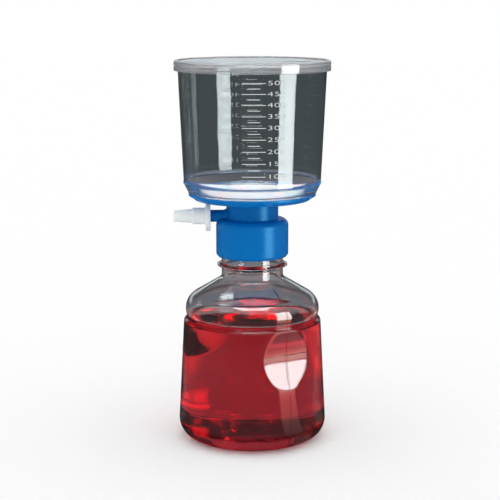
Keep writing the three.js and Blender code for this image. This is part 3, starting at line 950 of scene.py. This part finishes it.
class FILTRATION_OT_stage(Maker):
    """Set the stage: camera, pale floor, soft lights, the dim room that clear parts pick up, and
    two glowing tables of painted light and shade
    """

    bl_idname = "filtration.stage"
    bl_label = "Stage"

    def build(self, unit):
        s = unit.studio
        scene = bpy.context.scene
        eye = Vector((math.sin(s.azimuth) * s.distance, -math.cos(s.azimuth) * s.distance,
                      s.camera_height))
        camera = bpy.data.objects.new("camera", bpy.data.cameras.new("camera"))
        camera.data.sensor_width, camera.data.lens = 36, s.lens
        camera.data.clip_start, camera.data.clip_end = 0.05, 30
        camera.location = eye
        camera.rotation_euler = Euler((math.pi / 2 - s.pitch, 0, s.azimuth + s.yaw))
        scene.collection.objects.link(camera)
        scene.camera = camera

        def toward(turn, distance, height):
            """A place round the unit: turned from the camera's direction towards +X."""
            way = s.azimuth + math.radians(turn)
            return (math.sin(way) * distance, -math.cos(way) * distance, height)

        floor = Finish("pale_floor", Base_Color=(0.998, 0.998, 0.998), Specular_IOR_Level=0.0)
        floor.bump(floor.noise(500, 2), 0.00004)
        disc = revolve(np.array([[6000.0, -0.6], [0, -0.6]]), 96)
        surround("floor", disc, ("camera",), floor)

        def seen_table(made):
            """A glowing table that the clear parts see through, painted light in rings round a
            painted bright spot behind the unit:
            painted shadow under the bottle, painted warm light to both sides behind it and dim far
            away."""
            away = made.distance()
            # centre of the painted bright spot, behind the unit; its rings are wider from side to
            # side
            spot = made.node("Mapping", {"Vector": made.place, "Location": (-0.035, -0.17, 0),
                                         "Scale": (0.75, 1, 1)})
            painted_glow = made.ramp(made.distance(spot.outputs["Vector"]),
                            (0.0, (0.34, 0.33, 0.33)), (0.118, (0.31, 0.3, 0.3)),
                            (0.13, (0.55, 0.53, 0.53)), (0.165, (0.55, 0.53, 0.53)),
                            (0.175, (0.18, 0.19, 0.21)), (0.24, (0.17, 0.18, 0.2)),
                            (0.34, (0.16, 0.17, 0.2)), (0.5, (0.2, 0.2, 0.22)),
                            (0.72, (0.1, 0.11, 0.12)), (1.0, s.surround))
            # painted shadow under the bottle: near black inside 40 mm of the axis and from 55 mm,
            # fading out by 78 mm, with a bright ring between
            ring = made.maths("SUBTRACT", made.ranged(away, 0.04, 0.044),
                              made.ranged(away, 0.052, 0.055))
            outside_painted_shadow = made.maths("MAXIMUM", ring, made.ranged(away, 0.062, 0.078))
            # painted warm light to both sides behind the unit, from 0.1 m out to 0.55 m
            x, y, _ = made.node("SeparateXYZ", {0: made.place}).outputs
            aside = made.maths("ABSOLUTE", made.maths("ARCTAN2", x, y))
            sides = made.maths("SUBTRACT", made.ranged(aside, 0.26, 0.4),
                               made.ranged(aside, 1.0, 1.4))
            sides = made.maths("MULTIPLY", sides, made.ranged(away, 0.1, 0.14))
            sides = made.maths("MULTIPLY", sides, made.ranged(away, 0.48, 0.55, 1.0, 0.0))
            warm = made.mixed(sides, (1, 1, 1), (2.3, 1.15, 1.0))
            painted_glow = made.node("VectorMath", {0: painted_glow, 1: warm}, operation="MULTIPLY").outputs[0]
            return made.mixed(outside_painted_shadow, (0.012, 0.009, 0.009), painted_glow)

        def mirrored_table(made):
            """A glowing table that the outer faces mirror, a painted reflection: dim, with a
            painted pool of light that grows brighter towards the foot of the key light."""
            away = made.distance()
            x, y, _ = made.node("SeparateXYZ", {0: made.place}).outputs
            # the painted pool of light lies in the key light's direction, out to 0.31 m from the
            # axis
            way = s.azimuth + s.key_turn - math.pi / 2
            turned = made.maths("SUBTRACT", made.maths("ARCTAN2", y, x), way)
            within = made.ranged(made.maths("ABSOLUTE", turned), 0.21, 0.235, 1, 0)
            within = made.maths("MULTIPLY", within, made.ranged(away, 0.306, 0.312, 1, 0))
            pool = made.ramp(away, (0.09, (0.03, 0.02, 0.02)), (0.15, (0.16, 0.08, 0.07)),
                             (0.2, (0.36, 0.11, 0.1)), (0.225, (0.48, 0.13, 0.12)),
                             (0.265, (0.72, 0.24, 0.19)), (0.31, (0.92, 0.5, 0.38)))
            pool = made.node("VectorMath", {0: pool, "Scale": 6.0}, operation="SCALE").outputs[0]
            return made.mixed(within, (0.03, 0.035, 0.038), pool)

        def lay(name, drop, sees, pattern):
            table = revolve(np.array([[8000.0, drop], [0, drop]]), 96)
            surround(name, table, sees, glow(name + "_glow", pattern))

        # two glowing tables under the floor paint light and shade: one shows through the clear
        # parts, the other shines in their outer faces
        lay("seen_table", -1.2, ("transmission",), seen_table)
        lay("mirrored_table", -1.3, ("glossy",), mirrored_table)
        dome = revolve(sweep(0, -1.3, 8000, 8000, 0, 90, 24)[:-1], 64)
        points, quads, triangles = dome
        surround("room", (points, quads[:, ::-1], triangles), ("glossy", "transmission"),
                 glow("dim_room", colour=s.surround))

        shiny = ("glossy", "transmission")
        way = math.degrees(s.key_turn)
        lamp("key_light", toward(way, 0.3, 0.154), toward(way, 0, 0.154), (0.135, 0.232),
             s.key, shiny, (0.92, 1, 1))
        lamp("key_stand", toward(way, 0.3, 0.018), toward(way, 0, 0.018), (0.135, 0.028),
             2.3, shiny, (1, 0.75, 0.62))
        lamp("back_light", toward(180, 6, 0.954), toward(180, 0, 0.954), (9.2, 1.067), 0.6,
             shiny, (0.87, 0.94, 1.0))
        lamp("top_light", (0.0, -0.24, 1.25), (0, -0.24, 0), (0.8, 0.6), 64.0, ("transmission",))

        world = scene.world = bpy.data.worlds.new("pale_world")
        world.use_nodes = True
        sky = world.node_tree.nodes["Background"]
        sky.inputs["Color"].default_value = (1, 1, 1, 1)
        sky.inputs["Strength"].default_value = 1.0
        world.cycles_visibility.glossy = world.cycles_visibility.transmission = False
        scene.view_settings.view_transform = "Standard"
        cycles = scene.cycles
        cycles.max_bounces = cycles.transmission_bounces = 32
        cycles.glossy_bounces, cycles.diffuse_bounces = 28, 4
        cycles.use_denoising = True


# ---- panel and start

PIECES = (
    FILTRATION_OT_bottle, FILTRATION_OT_filtrate, FILTRATION_OT_housing, FILTRATION_OT_adapter,
    FILTRATION_OT_funnel, FILTRATION_OT_lid, FILTRATION_OT_graduations, FILTRATION_OT_discs,
    FILTRATION_OT_stage,
)


class FILTRATION_PT_pieces(Panel):
    """Lists the pieces of the filtration unit with the settings that shape them"""

    bl_idname = "FILTRATION_PT_pieces"
    bl_label = "Filtration Unit"
    bl_space_type = "VIEW_3D"
    bl_region_type = "UI"
    bl_category = "Filtration"

    def draw(self, context):
        settings = context.scene.filtration
        for operator in PIECES:
            self.layout.operator(operator.bl_idname)
        for group in UnitSettings.__annotations__:
            box = self.layout.box()
            box.label(text=group.capitalize())
            values = getattr(settings, group)
            for name in type(values).__annotations__:
                box.prop(values, name)


CLASSES = (
    BottleSettings, FiltrateSettings, FunnelSettings, LidSettings, HousingSettings,
    AdapterSettings, PrintSettings, DiscSettings, StudioSettings, UnitSettings, *PIECES,
    FILTRATION_PT_pieces,
)


def register():
    for cls in CLASSES:
        bpy.utils.register_class(cls)
    bpy.types.Scene.filtration = PointerProperty(type=UnitSettings)


def unregister():
    del bpy.types.Scene.filtration
    for cls in reversed(CLASSES):
        bpy.utils.unregister_class(cls)


def main():
    register()
    for operator in PIECES:
        family, name = operator.bl_idname.split(".")
        getattr(getattr(bpy.ops, family), name)()


if __name__ == "__main__":
    main()
